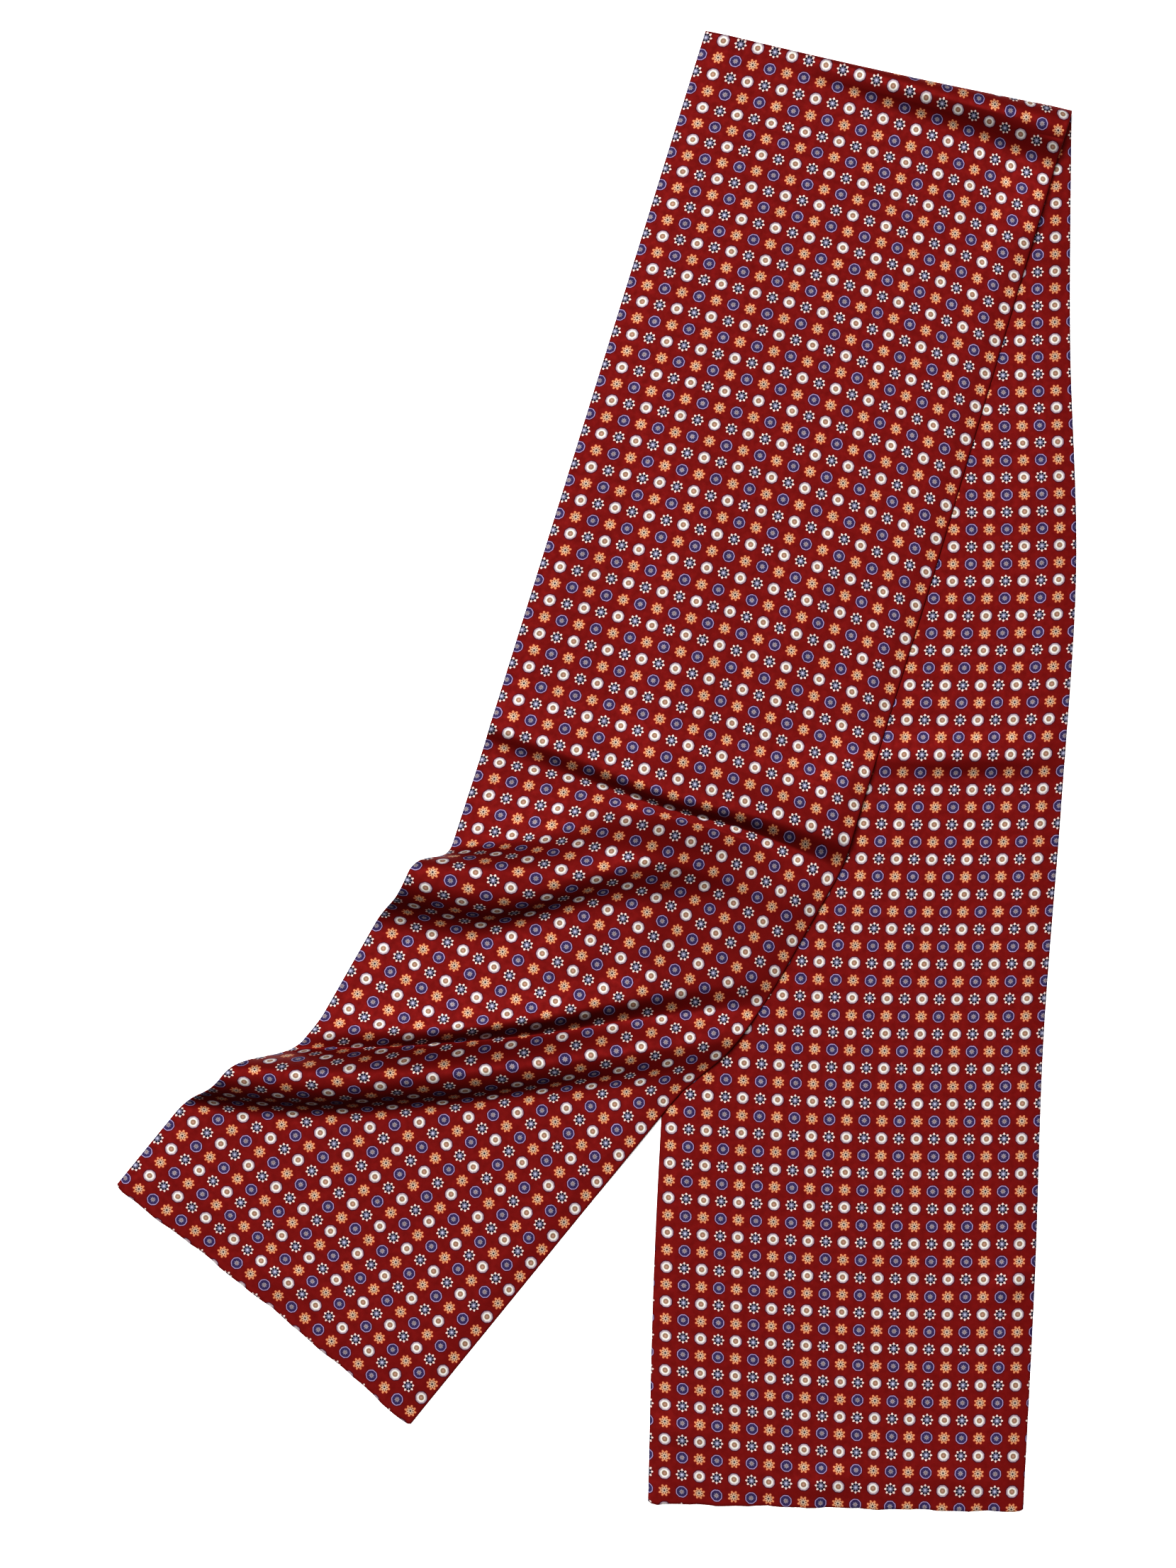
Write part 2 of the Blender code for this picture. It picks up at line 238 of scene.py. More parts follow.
@dataclass(frozen=True)
class Wave:
    """A soft low ridge or trough across the cloth: its middle, direction, half width and half length.

    The place is across and along the cloth in mm. The heading is the angle of its line, in degrees from
    straight across. A negative height makes a trough.
    """

    across: float
    along: float
    heading: float
    width: float
    length: float
    height: float

    def lift(self, across: Array, along: Array) -> Array:
        """The height that the wave adds: a bell curve across its line, times one along it.

        Args:
            across: places across the cloth.
            along: places along it.

        Returns:
            The heights.
        """
        cos, sin = math.cos(math.radians(self.heading)), math.sin(math.radians(self.heading))
        dx = across / MM - self.across
        dy = along / MM - self.along
        run = (dx * cos + dy * sin) / self.length
        side = (dy * cos - dx * sin) / self.width
        return self.height * MM * np.exp(-run**2 - side**2)


@dataclass(frozen=True)
class Pleat:
    """A low pressed roof across the cloth, with a slow rise up to its line and a quick fall after it.

    The line's place along the cloth and the roof's height are five values from the left edge to the right one.
    All sizes are in mm.
    """

    place: Five
    height: Five
    rise: float
    fall: float

    def lift(self, position: Array, along: Array) -> Array:
        """The height that the pleat adds: an S-curve up to its line, times one down after it.

        Args:
            position: places across the cloth, as shares of its width.
            along: places along it.

        Returns:
            The heights.
        """
        after = along / MM - curve_through(self.place, position)
        roof = smooth(after / self.rise + 1.0) * (1.0 - smooth(after / self.fall))
        return curve_through(self.height, position) * MM * roof


@dataclass(frozen=True)
class Hem:
    """How an end's edge wavers: drawn in between its corners, rounded at them, and puckered in short waves.

    Each pucker is a sine across the cloth, given by its period in mm, its size in mm and its start in degrees.
    """

    puckers: tuple[tuple[float, float, float], ...]
    drawn_in: float = 0.0
    draw_reach: float = 60.0 * MM
    pucker_reach: float = 15.0 * MM
    pucker_lift: float = 0.6 * MM
    corner: float = 4.5 * MM
    corner_cut: float = 2.2 * MM

    def moved(self, across: Array, width: float, from_end: Array) -> tuple[Array, Array]:
        """How far the cloth moves outwards near the end, and how far it lifts.

        Args:
            across: places across the cloth.
            width: the cloth's width.
            from_end: distances from the end, by row and column.

        Returns:
            The distance outwards and the height at each point.
        """
        wave = np.zeros_like(across)
        for period, size, start in self.puckers:
            wave = wave + size * MM * np.sin(across * math.tau / (period * MM) + math.radians(start))
        side = np.minimum(across, width - across)
        corner = self.corner_cut * np.clip(1.0 - side / self.corner, 0.0, 1.0) ** 2
        near = 1.0 - smooth(from_end / self.pucker_reach)
        drawn = self.drawn_in * arc(across / width) * (1.0 - smooth(from_end / self.draw_reach))
        most = sum(size for _, size, _ in self.puckers) * MM
        return (wave - corner) * near - drawn, self.pucker_lift * (0.5 + 0.5 * wave / most) * near


@dataclass(frozen=True)
class Wall:
    """How thick the pressed tube is: half of its thickness in its middle, and at its pressed edges."""

    middle: float = 0.95 * MM
    edge: float = 0.55 * MM
    rounding: float = 0.55 * MM
    spread: float = 14.0 * MM
    hollow: float = 0.25 * MM

    def swell(self, distance: Array) -> Array:
        """How much thicker than its edges the tube is at a distance from them: an S-curve to its middle."""
        return (self.middle - self.edge) * smooth((distance - self.rounding) / self.spread)

    def half(self, distance: Array) -> Array:
        """Half the thickness at a distance from the nearest edge: a quarter circle, and the swell."""
        left = 1.0 - np.clip(distance / self.rounding, 0.0, 1.0)
        return self.edge * np.sqrt(1.0 - left**2) + self.swell(distance)

    def settled(self, distance: Array) -> Array:
        """How far the middle lies below its full height near the edges, so that the underside stays flat."""
        return self.middle - self.edge - self.swell(distance)


@dataclass(frozen=True)
class Roll:
    """The soft roll along the fold, as five values in mm from the left.

    They are its rise over the flat lie, how far from the fold's edge its fall is, how long the fall is, and how
    far its rounded nose reaches in from the edge.
    """

    rise: Five = (0.4, 0.7, 5, 9.5, 11)
    place: Five = (7, 8.5, 14.5, 17.8, 27)
    length: Five = (10, 10, 16, 22, 28)
    nose: Five = (1.2, 1.6, 5, 10, 12)
    end: float = 48.0 * MM

    def lift(self, position: Array, from_fold: Array) -> Array:
        """The height that the roll adds: full at the fold's edge, then an S-curve down to nothing.

        Args:
            position: places across the cloth, as shares of its width.
            from_fold: distances from the fold's edge.

        Returns:
            The heights.
        """
        rise, place, length = (curve_through(v, position) * MM for v in (self.rise, self.place, self.length))
        return rise * (1.0 - smooth((from_fold - place) / length + 0.5))


@dataclass
class UpperHalf:
    """The half that starts at the fold, lies over the under half and turns away in ripples."""

    width: float = 232.0 * MM
    length: float = 900.3 * MM
    heading: float = 17.25
    fold_left: tuple[float, float] = (66.2 * MM, 453.1 * MM)
    fold_sag: float = 1.2 * MM
    fold_skew: float = 19.5 * MM
    roll: Roll = Roll()
    ease_length: float = 280.0 * MM
    ease: float = 8.6 * MM
    drawn_in: float = 3.4 * MM
    drawn_in_from: float = 0.55
    step_out: float = 12.0 * MM
    step_down: float = 32.0 * MM
    ripples_start: float = 412.0 * MM
    ripples_end: float = 848.0 * MM
    resting: float = 0.97 * MM
    overlaid: float = 3.15 * MM
    under_left: Marks = ()
    turns: tuple[Turn, Turn] = (Turn(12.4, 198.0, 469.0), Turn(9.5, 241.0, 525.0))
    slopes: dict[str, Slope] = field(default_factory=lambda: dict(RIPPLE_SLOPES))
    pleats: tuple[Pleat, ...] = (
        Pleat((454, 457, 462, 458, 456), (2.6, 2.2, 1.8, 1.8, 2.2), 20.0, 9.0),
        Pleat((713, 683, 640, 587, 546), (1.6, 3.4, 3.6, 1.0, 0), 28.0, 18.0),
    )
    # across, along, heading, width, length, height
    waves: tuple[Wave, ...] = (
        Wave(94, 314, 73, 16, 90, 0.6),
        Wave(60, 120, 65, 20, 70, 0.6),
        Wave(165, 330, 100, 14, 60, 0.5),
        Wave(230, 414, -17, 16, 32, 3.0),
        Wave(230, 50, 90, 16, 32, 5.2),
        Wave(42, 872, 10, 6, 26, 0.8),
        Wave(118, 880, -20, 7, 22, 0.7),
        Wave(188, 868, 30, 6, 25, 0.9),
    )

    def flat_lie(self, across: Array, along: Array) -> tuple[Array, Array]:
        """Where the half would lie if it kept its first heading, its soft waves taking up length near the fold.

        Args:
            across: places across the cloth.
            along: places along it, counted from the fold's left end.

        Returns:
            Their x and y.
        """
        angle = math.radians(self.heading)
        left_over = np.clip(1.0 - along / self.ease_length, 0.0, 1.0)
        along = along + self.ease * (left_over**2 - 1.0)
        drawn = smooth((across / self.width - self.drawn_in_from) / (1.0 - self.drawn_in_from))
        across = across - self.drawn_in * left_over * drawn
        x = self.fold_left[0] + across * math.cos(angle) - along * math.sin(angle)
        y = self.fold_left[1] - across * math.sin(angle) - along * math.cos(angle)
        return x, y

    def lies(self, across: Array, along: Array) -> list[tuple[Array, Array]]:
        """The three flat lies: the first heading, then after each turn about its pivot.

        Args:
            across: places across the cloth.
            along: places along it.

        Returns:
            The x and the y in each lie.
        """
        lies = [self.flat_lie(across, along)]
        first, second = (self.flat_lie(np.float64(t.across * MM), np.float64(t.along * MM)) for t in self.turns)
        second = turned(*second, self.turns[0].degrees, first)
        lies.append(turned(*lies[0], self.turns[0].degrees, first))
        lies.append(turned(*lies[1], self.turns[1].degrees, second))
        return lies

    def height_under(self, x: Array, y: Array) -> Array:
        """The height that the middle lies at: over the under half, or down on the surface to its left.

        Args:
            x: the points' x.
            y: the points' y.

        Returns:
            The heights, which step down by an S-curve outside the under half's left edge.
        """
        edge = sorted((*self.under_left, self.fold_left), key=lambda point: point[1])
        left = np.interp(y, [point[1] for point in edge], [point[0] for point in edge])
        up = smooth((x - left + self.step_out + self.step_down) / self.step_down)
        return self.resting + (self.overlaid - self.resting) * up

    def fold_along(self, across: Array) -> Array:
        """How far along the cloth the fold's edge is: a shallow arc on a slanting line."""
        position = across / self.width
        return self.fold_sag * arc(position) - self.fold_skew * position

    def middle(self, across: Array, along: Array) -> Array:
        """The middle surface: each slope hands the cloth over from one lie to the next, and lifts it.

        Args:
            across: places across the cloth.
            along: places along it.

        Returns:
            The points, with x, y and z last.
        """
        lies = self.lies(across, along)
        x, y = lies[0]
        lift = np.zeros_like(x)
        position = across / self.width
        for slope in self.slopes.values():
            place = curve_through(slope.place, position) * MM
            length = curve_through(slope.length, position) * MM
            done = smooth((along - place) / length + 0.5)
            move_x = lies[slope.turn + 1][0] - lies[slope.turn][0]
            move_y = lies[slope.turn + 1][1] - lies[slope.turn][1]
            share = curve_through(slope.share, position) * done
            slide = curve_through(slope.slide, position) * MM * done / (np.hypot(move_x, move_y) + MM)
            x = x + share * move_x - slide * move_y
            y = y + share * move_y + slide * move_x
            ahead = curve_through(slope.ahead, position) * MM
            risen = smooth((along - place + ahead) / (length * slope.steep) + 0.5)
            lift = lift + curve_through(slope.rise, position) * MM * risen
        lift = np.maximum(lift, 0.0) + self.roll.lift(position, along - self.fold_along(across))
        for pleat in self.pleats:
            lift = lift + pleat.lift(position, along)
        for wave in self.waves:
            lift = lift + wave.lift(across, along)
        return np.stack([x, y, self.height_under(x, y) + lift], axis=-1)


@dataclass
class UnderHalf:
    """The half that lies flat below, ruled between its two long edges from the fold to its end."""

    upper: UpperHalf
    left: Marks
    right: Marks
    pleat: Pleat = Pleat((443, 438, 433, 428, 423), (0, 0, 1.7, 4.2, 0.5), 22.0, 8.0)
    waves: tuple[Wave, ...] = (
        Wave(197, 264, 59, 7, 20, 1.2),
        Wave(211, 98, 20, 9, 16, 0.9),
        Wave(165, 396, -3, 14, 45, 0.5),
        Wave(219, 756, -35, 6, 14, 1.4),
        Wave(20, 855, 15, 6, 18, 1.2),
        Wave(110, 884, -10, 5, 20, 0.9),
        Wave(185, 880, 12, 5, 22, 0.9),
    )

    def edge(self, across: float, marks: Marks, share: Array) -> Array:
        """One long edge: a smooth curve from the fold's end at its place across through its marks.

        Args:
            across: the edge's place across the cloth.
            marks: the x and y of places on the edge, evenly spaced from the fold to the end.
            share: shares of the length from the fold's edge.

        Returns:
            The x at each share, and the y.
        """
        place = np.array([across])
        fold_end = self.upper.middle(place, self.upper.fold_along(place))[0, :2]
        return np.array([curve_through(column, share) for column in np.transpose([fold_end, *marks])])

    def middle(self, across: Array, share: Array) -> Array:
        """The middle surface at a share of the length from the fold: straight across, curved along.

        Args:
            across: places across the cloth.
            share: shares of the length from the fold's edge.

        Returns:
            The points, with x, y and z last.
        """
        position = across / self.upper.width
        left, right = self.edge(0.0, self.left, share), self.edge(self.upper.width, self.right, share)
        x, y = left + (right - left) * position
        along = share * self.upper.length
        z = self.upper.resting + self.pleat.lift(position, along)
        for wave in self.waves:
            z = z + wave.lift(across, along)
        return np.stack([x, y, z], axis=-1)


@dataclass
class TopFold:
    """The turn at the top, where the upper half's cloth rolls round to become the under half."""

    upper: UpperHalf
    under: UnderHalf
    roll_foot: tuple[float, float] = (9.0 * MM, 20.0 * MM)
    under_foot: float = 12.0 * MM
    tuck: float = 0.22
    least_radius: float = 1.28 * MM
    foot_cells: int = 12
    turn_cells: int = 20

    def foot(self, across: Array) -> Array:
        """How far from the fold's edge the roll meets the flat of the upper half."""
        return self.roll_foot[0] + (self.roll_foot[1] - self.roll_foot[0]) * across / self.upper.width

    def under_share(self, across: Array) -> Array:
        """The share of the under half's length at which the turn ends."""
        return self.under_foot / (self.upper.length - self.upper.fold_along(across))

    def rows(self, across: Array) -> Array:
        """The rows of the turn: a ramp up to the roll, a rounded nose over the edge, and flat below.

        The nose is a quarter of an oval above and a quarter of a circle below.

        Args:
            across: places across the cloth.

        Returns:
            The points by row and column, with x, y and z last.
        """
        start = self.upper.fold_along(across)
        edge = self.upper.middle(across, start)[:, :2]
        up = self.upper.middle(across, start + self.foot(across))[:, :2] - edge
        under = self.under.middle(across, self.under_share(across))[:, :2] - edge
        foot = np.linalg.norm(up, axis=-1, keepdims=True)
        up, under = unit(up), unit(under)
        position = across[:, None] / self.upper.width
        resting, overlaid = self.upper.resting, self.upper.overlaid
        nose = curve_through(self.upper.roll.nose, position) * MM
        top = overlaid + self.upper.roll.lift(position, nose)
        radius = np.maximum(self.tuck * (top - resting), self.least_radius)
        rows = []
        for k in range(1, self.foot_cells):
            distance = foot + (nose - foot) * k / self.foot_cells
            rows.append(np.hstack([edge + up * distance, overlaid + self.upper.roll.lift(position, distance)]))
        for k in range(self.turn_cells + 1):
            angle = math.pi / 2.0 - math.pi * k / self.turn_cells
            side, high = (up * nose, top - resting - radius) if angle > 0.0 else (under * radius, radius)
            height = resting + radius + high * math.sin(angle)
            rows.append(np.hstack([edge + side * (1.0 - math.cos(angle)), height]))
        return np.stack(rows)


@dataclass(frozen=True)
class PrintLay:
    """How the printed grid lies on the cloth: the repeat, and where its columns and rows fall.

    Columns are counted from the left edge and rows from the fold, as the marks on each ply give them.
    """

    pitch: float = 10.73 * MM
    upper_column: float = 10.14
    upper_row: float = 12.1
    upper_bow: Five = (0.62, 0.62, 0.44, 0.30, 0.10)
    level_arc: float = 0.8
    under_left: float = 8.3 * MM
    under_column: float = 17.0
    under_rows_left: tuple[float, float] = (-50.6, 84.5)
    under_rows_right: tuple[float, float] = (-47.35, 80.5)
    under_bow: tuple[float, ...] = (8.0, 6.5, 4.5, 3.5, 3.0, 3.0, 3.0)
    under_drift: Five = (0, 0.8, 3.0, 1.8, -1.8)

    def upper_columns(self, across: Array) -> Array:
        """The column number across the upper face."""
        return across / self.pitch - self.upper_column

    def upper_rows(self, position: Array, along: Array, length: float) -> Array:
        """The row number along the upper face, its rows bowed towards the fold in the middle."""
        bow = curve_through(self.upper_bow, along / length)
        return along / self.pitch - self.upper_row + bow * (arc(position) - self.level_arc)

    def under_columns(self, across: Array, share: Array) -> Array:
        """The column number across the other ply, which shows on the under half and drifts aside along it."""
        drift = curve_through(self.under_drift, share) * MM
        return (across + drift - self.under_left) / self.pitch - self.under_column

    def under_rows(self, position: Array, share: Array) -> Array:
        """The row number along the under half, its rows hanging lower in the middle near the fold.

        Args:
            position: places across the cloth, as shares of its width.
            share: shares of the under half's length.

        Returns:
            The row numbers: from edge to edge in a straight line, less the bow's arc.
        """
        left = self.under_rows_left[0] + self.under_rows_left[1] * share
        right = self.under_rows_right[0] + self.under_rows_right[1] * share
        bow = curve_through(self.under_bow, share) * MM / self.pitch
        return left + (right - left) * position - bow * arc(position)


@dataclass
class Skin:
    """A closed mesh of four-sided faces, with the UV place of each face's corners."""

    points: Array
    quads: Array
    corners: Array

    @classmethod
    def round_grid(cls, middle: Array, offset: Array, face_uv: Array, back_uv: Array) -> Skin:
        """The skin round a grid: the grid plus its offset on the face side, and minus it on the back.

        Both sides share the grid's rim, where the offset is nothing, so the skin is closed.

        Args:
            middle: the middle surface's points by row and column.
            offset: how far the face side lies from each.
            face_uv: the print's place at each point of the face side.
            back_uv: the print's place at each point of the back.

        Returns:
            The skin, its faces pointing outwards.
        """
        rows, columns, _ = middle.shape
        face = np.arange(rows * columns).reshape(rows, columns)
        back = face.copy()
        inside = (rows - 2) * (columns - 2)
        back[1:-1, 1:-1] = rows * columns + np.arange(inside).reshape(rows - 2, columns - 2)
        under = (middle - offset)[1:-1, 1:-1]
        points = np.concatenate([(middle + offset).reshape(-1, 3), under.reshape(-1, 3)])

        def corners_of(grid: Array) -> Array:
            """The four corners of each cell of a grid, once round."""
            cells = [grid[:-1, :-1], grid[:-1, 1:], grid[1:, 1:], grid[1:, :-1]]
            return np.stack(cells, axis=2).reshape(-1, 4, *grid.shape[2:])

        quads = np.concatenate([corners_of(face), corners_of(back)[:, ::-1]])
        uv = np.concatenate([corners_of(face_uv), corners_of(back_uv)[:, ::-1]])
        return cls(points, quads, uv)

    def turned_inside_out(self) -> Skin:
        """The same skin with its faces pointing the other way."""
        return Skin(self.points, self.quads[:, ::-1], self.corners[:, ::-1])

    def joined(self, other: Skin) -> Skin:
        """This skin and another as one mesh.

        Args:
            other: the other skin.

        Returns:
            The joined skin.
        """
        return Skin(
            np.concatenate([self.points, other.points]),
            np.concatenate([self.quads, other.quads + len(self.points)]),
            np.concatenate([self.corners, other.corners]),
        )

    def to_object(self, name: str) -> bpy.types.Object:
        """The skin as an object of that name, smooth, with its UV map called "print".

        Args:
            name: the object's and the mesh's name.

        Returns:
            The object, linked to the scene.
        """
        mesh = bpy.data.meshes.new(name)
        mesh.from_pydata(self.points.tolist(), [], self.quads.tolist())
        layer = mesh.uv_layers.new(name="print")
        layer.data.foreach_set("uv", self.corners.astype(np.float32).ravel())
        mesh.polygons.foreach_set("use_smooth", np.ones(len(mesh.polygons), dtype=bool))
        mesh.update()
        return placed(name, mesh)


@dataclass
class Scarf:
    """The whole scarf: one skin round the tube of cloth, with the print's places in its UV map."""

    wall: Wall = field(default_factory=Wall)
    lay: PrintLay = field(default_factory=PrintLay)
    under_left: Marks = in_metres(
        (57.5, 302.1), (60.1, 151.0), (51.9, 0.0), (42.7, -150.6), (34.9, -300.3), (31.0, -447.9)
    )
    under_right: Marks = in_metres(
        (289.5, 264.7), (293.2, 123.7), (284.1, -19.5), (273.2, -163.2), (268.0, -307.3), (260.6, -453.1)
    )
    edge_steps: tuple[float, ...] = (0.0, 0.16 * MM, 0.55 * MM, 1.8 * MM)
    inner_cells: int = 57
    roll_rows: int = 14
    flat_rows: int = 80
    last_rows: int = 20
    end_rows: int = 10
    under_rows: int = 164
    roll_reach: float = 45.0 * MM
    hem_rows: int = 8
    upper_hem: Hem = Hem(((61.0, 0.4, 250.0), (26.0, 0.22, 20.0), (11.7, 0.08, 140.0)), 3.0 * MM)
    under_hem: Hem = Hem(((47.0, 0.35, 80.0), (19.5, 0.22, 10.0), (9.1, 0.08, 200.0)))
    upper: UpperHalf = field(init=False)
    under: UnderHalf = field(init=False)
    fold: TopFold = field(init=False)

    def __post_init__(self) -> None:
        """Sets up the two halves and the fold between them."""
        self.upper = UpperHalf(under_left=self.under_left)
        self.under = UnderHalf(self.upper, self.under_left, self.under_right)
        self.fold = TopFold(self.upper, self.under)

    def columns(self) -> Array:
        """The places across: close together at both pressed edges and even between them.

        Returns:
            The places, from 0 to the cloth's width.
        """
        steps = np.array(self.edge_steps)
        width = self.upper.width
        inside = np.linspace(steps[-1], width - steps[-1], self.inner_cells + 1)[1:-1]
        return np.concatenate([steps, inside, width - steps[::-1]])

    def upper_along(self, across: Array) -> Array:
        """How far along the cloth each row of the upper half is, from its end to the fold.

        The rows follow the middle lines of the steep slopes, so that the grid runs along the ripples.

        Args:
            across: places across the cloth.

        Returns:
            The places along it, by row and column.
        """
        position = across / self.upper.width
        fold_line = self.upper.fold_along(across)
        lines = [fold_line + self.fold.foot(across), fold_line + self.upper.roll.end]
        lines.append(np.full_like(across, self.upper.ripples_start))
        followed = [slope for slope in self.upper.slopes.values() if slope.rows]
        lines += [curve_through(slope.place, position) * MM for slope in followed]
        lines.append(np.full_like(across, self.upper.ripples_end))
        counts = [self.roll_rows, self.flat_rows, *(slope.rows for slope in followed), self.last_rows]
        rows = []
        for line, following, count in zip(lines, lines[1:], counts):
            shares = np.linspace(0.0, 1.0, count, endpoint=False)[:, None]
            rows.append(line + (following - line) * shares)
        shares = np.linspace(0.0, 1.0, self.end_rows, endpoint=False)[:, None]
        rim = self.upper.length - np.array(self.edge_steps[::-1])[:, None]
        rows.append(lines[-1] + (rim[0] - lines[-1]) * shares)
        rows.append(np.broadcast_to(rim, (len(rim), len(across))))
        return np.concatenate(rows)[::-1]

    def under_shares(self, across: Array) -> Array:
        """The share of the under half's length at each row: even from the turn on, close together at the end.

        Args:
            across: places across the cloth.

        Returns:
            The shares, by row and column.
        """
        start = self.fold.under_share(across)
        edge = np.array(self.edge_steps[::-1])[:, None] / self.upper.length
        even = np.linspace(0.0, 1.0, self.under_rows, endpoint=False)[:, None]
        inside = start + (1.0 - edge[0] - start) * even
        return np.concatenate([inside, np.broadcast_to(1.0 - edge, (len(edge), len(across)))])

    def waver_ends(self, points: Array, run: Array, across: Array) -> None:
        """Moves the cloth near both ends outwards and up, as their hems waver.

        Args:
            points: the middle surface, which is changed in place.
            run: how far each point is from the upper half's end, along the cloth.
            across: places across the cloth.
        """
        for hem, end, step, from_end in ((self.upper_hem, 0, 1, run), (self.under_hem, -1, -1, run[-1] - run)):
            outwards = unit(points[end] - points[end + step * self.hem_rows])
            moved, lifted = hem.moved(across, self.upper.width, from_end)
            points += moved[..., None] * outwards
            points[..., 2] += lifted

    def print_places(self, across: Array, along: Array, shares: Array, run: Array) -> tuple[Array, Array]:
        """The print's places: as they lie on each ply's own half, then carried on round the fold.

        Args:
            across: places across the cloth.
            along: places along the upper half, by row and column.
            shares: shares of the under half's length, by row and column.
            run: how far each point is from the upper half's end, along the cloth.

        Returns:
            The print's column and row numbers on the face ply, and on the back ply.
        """
        position = across / self.upper.width
        face, back = np.empty_like(run), np.empty_like(run)
        near = np.argmin(np.abs(along - self.upper.fold_along(across) - self.roll_reach), axis=0).max()
        face[: len(along)] = self.lay.upper_rows(position, along, self.upper.length)
        face[near:] = face[near] - (run[near:] - run[near]) / self.lay.pitch
        first = len(run) - len(shares)
        back[first:] = self.lay.under_rows(position, shares)
        back[:first] = back[first] - (run[first] - run[:first]) / self.lay.pitch
        face_columns = np.broadcast_to(self.lay.upper_columns(across), run.shape)
        share = np.clip((run - run[first]) / (run[-1] - run[first]), 0.0, 1.0)
        back_columns = self.lay.under_columns(across, share)
        return np.stack([face_columns, face], axis=-1), np.stack([back_columns, back], axis=-1)

    def grids(self) -> tuple[Array, Array, Array, Array]:
        """The middle surface and what goes with it, by row and column.

        Returns:
            The points, half the thickness at each, and the print's places on the face ply and the back ply.
        """
        across = self.columns()
        along = self.upper_along(across)
        shares = self.under_shares(across)
        upper = self.upper.middle(np.broadcast_to(across, along.shape), along)
        under = self.under.middle(np.broadcast_to(across, shares.shape), shares)
        points = np.concatenate([upper, self.fold.rows(across), under])
        run = np.cumsum(np.linalg.norm(np.diff(points, axis=0, prepend=points[:1]), axis=-1), axis=0)
        side = np.minimum(across, self.upper.width - across)
        distance = np.minimum(side, np.minimum(run, run[-1] - run))
        points[..., 2] -= self.wall.settled(distance)
        self.waver_ends(points, run, across)
        return points, self.wall.half(distance), *self.print_places(across, along, shares, run)

    def build(self) -> bpy.types.Object:
        """The scarf's object: its outer skin, and the inner one round the thin hollow between the plies.

        Returns:
            The object, its place in its mesh.
        """
        points, half, face_uv, back_uv = self.grids()
        points[..., :2] += CENTRING
        rows, columns, _ = points.shape
        normals = unit(np.cross(np.gradient(points, axis=1), np.gradient(points, axis=0)))
        outer = Skin.round_grid(points, half[..., None] * normals, face_uv, back_uv)
        rim = len(self.edge_steps) - 1
        last = columns - 1 - rim
        every_other = np.arange(rim + 1, last, 2)
        pick = np.ix_(np.arange(rim, rows - rim), np.unique([rim, *every_other, last]))
        thin = np.full(points[pick].shape[:2], self.wall.hollow)
        thin[0] = thin[-1] = 0.0
        thin[:, 0] = thin[:, -1] = 0.0
        inner = Skin.round_grid(points[pick], thin[..., None] * normals[pick], face_uv[pick], back_uv[pick])
        skin = outer.joined(inner.turned_inside_out())
        LOG.info("scarf skin: %d rows by %d columns, %d triangles", rows, columns, 2 * len(skin.quads))
        return skin.to_object("silk_scarf")


# ---- Finishes ----


class Graph:
    """The nodes of one material."""

    def __init__(self, name: str) -> None:
        """Starts a material with one Principled shader.

        Args:
            name: the material's name.
        """
        self.material = bpy.data.materials.new(name)
        self.material.use_nodes = True
        self.tree = self.material.node_tree
        self.shader = self.tree.nodes["Principled BSDF"]

    def node(self, kind: str, settings: dict[str, object], inputs: dict[str | int, object]) -> bpy.types.Node:
        """Adds a node.

        Args:
            kind: the node's type, as Blender names it.
            settings: its own settings, which are set first.
            inputs: its sockets' values or links, as in plug.

        Returns:
            The node.
        """
        node = self.tree.nodes.new(kind)
        for name, value in settings.items():
            setattr(node, name, value)
        self.plug(node, inputs)
        return node

    def plug(self, node: bpy.types.Node, inputs: dict[str | int, object]) -> None:
        """Links a value to each of a node's sockets that is named, or sets the socket to it.

        Args:
            node: the node.
            inputs: a number, a colour, a Value or another node's socket, by the socket's name or place.
        """
        for key, value in inputs.items():
            if isinstance(value, Value):
                value = value.socket
            if isinstance(value, bpy.types.NodeSocket):
                self.tree.links.new(value, node.inputs[key])
            else:
                node.inputs[key].default_value = value

    def maths(self, operation: str, *values: object) -> Value:
        """A Math node's result."""
        node = self.node("ShaderNodeMath", {"operation": operation}, dict(enumerate(values)))
        return Value(self, node.outputs[0])

    def step(self, value: object, low: float, high: float) -> Value:
        """0 where the value is below low, 1 above high, and an S-curve between."""
        settings, inputs = {"interpolation_type": "SMOOTHSTEP"}, {0: value, 1: low, 2: high}
        return Value(self, self.node("ShaderNodeMapRange", settings, inputs).outputs[0])

    def mixed(self, share: object, first: object, second: object) -> bpy.types.NodeSocket:
        """The first colour, going over to the second one by its share."""
        inputs = {"Factor": share, 6: first, 7: second}
        return self.node("ShaderNodeMix", {"data_type": "RGBA"}, inputs).outputs[2]


class Value:
    """A number that varies over the surface. Python's operators on it add Math nodes."""

    def __init__(self, graph: Graph, socket: bpy.types.NodeSocket) -> None:
        """Wraps a socket of a graph."""
        self.graph = graph
        self.socket = socket

    def __add__(self, other: object) -> Value:
        """The sum."""
        return self.graph.maths("ADD", self, other)

    def __sub__(self, other: object) -> Value:
        """The difference."""
        return self.graph.maths("SUBTRACT", self, other)

    def __mul__(self, other: object) -> Value:
        """The product."""
        return self.graph.maths("MULTIPLY", self, other)

    def __truediv__(self, other: object) -> Value:
        """The quotient."""
        return self.graph.maths("DIVIDE", self, other)

    def __mod__(self, other: object) -> Value:
        """What is left over after division, never negative."""
        return self.graph.maths("FLOORED_MODULO", self, other)

    def __rsub__(self, other: object) -> Value:
        """The difference, with the number first."""
        return self.graph.maths("SUBTRACT", other, self)

    __radd__ = __add__
    __rmul__ = __mul__


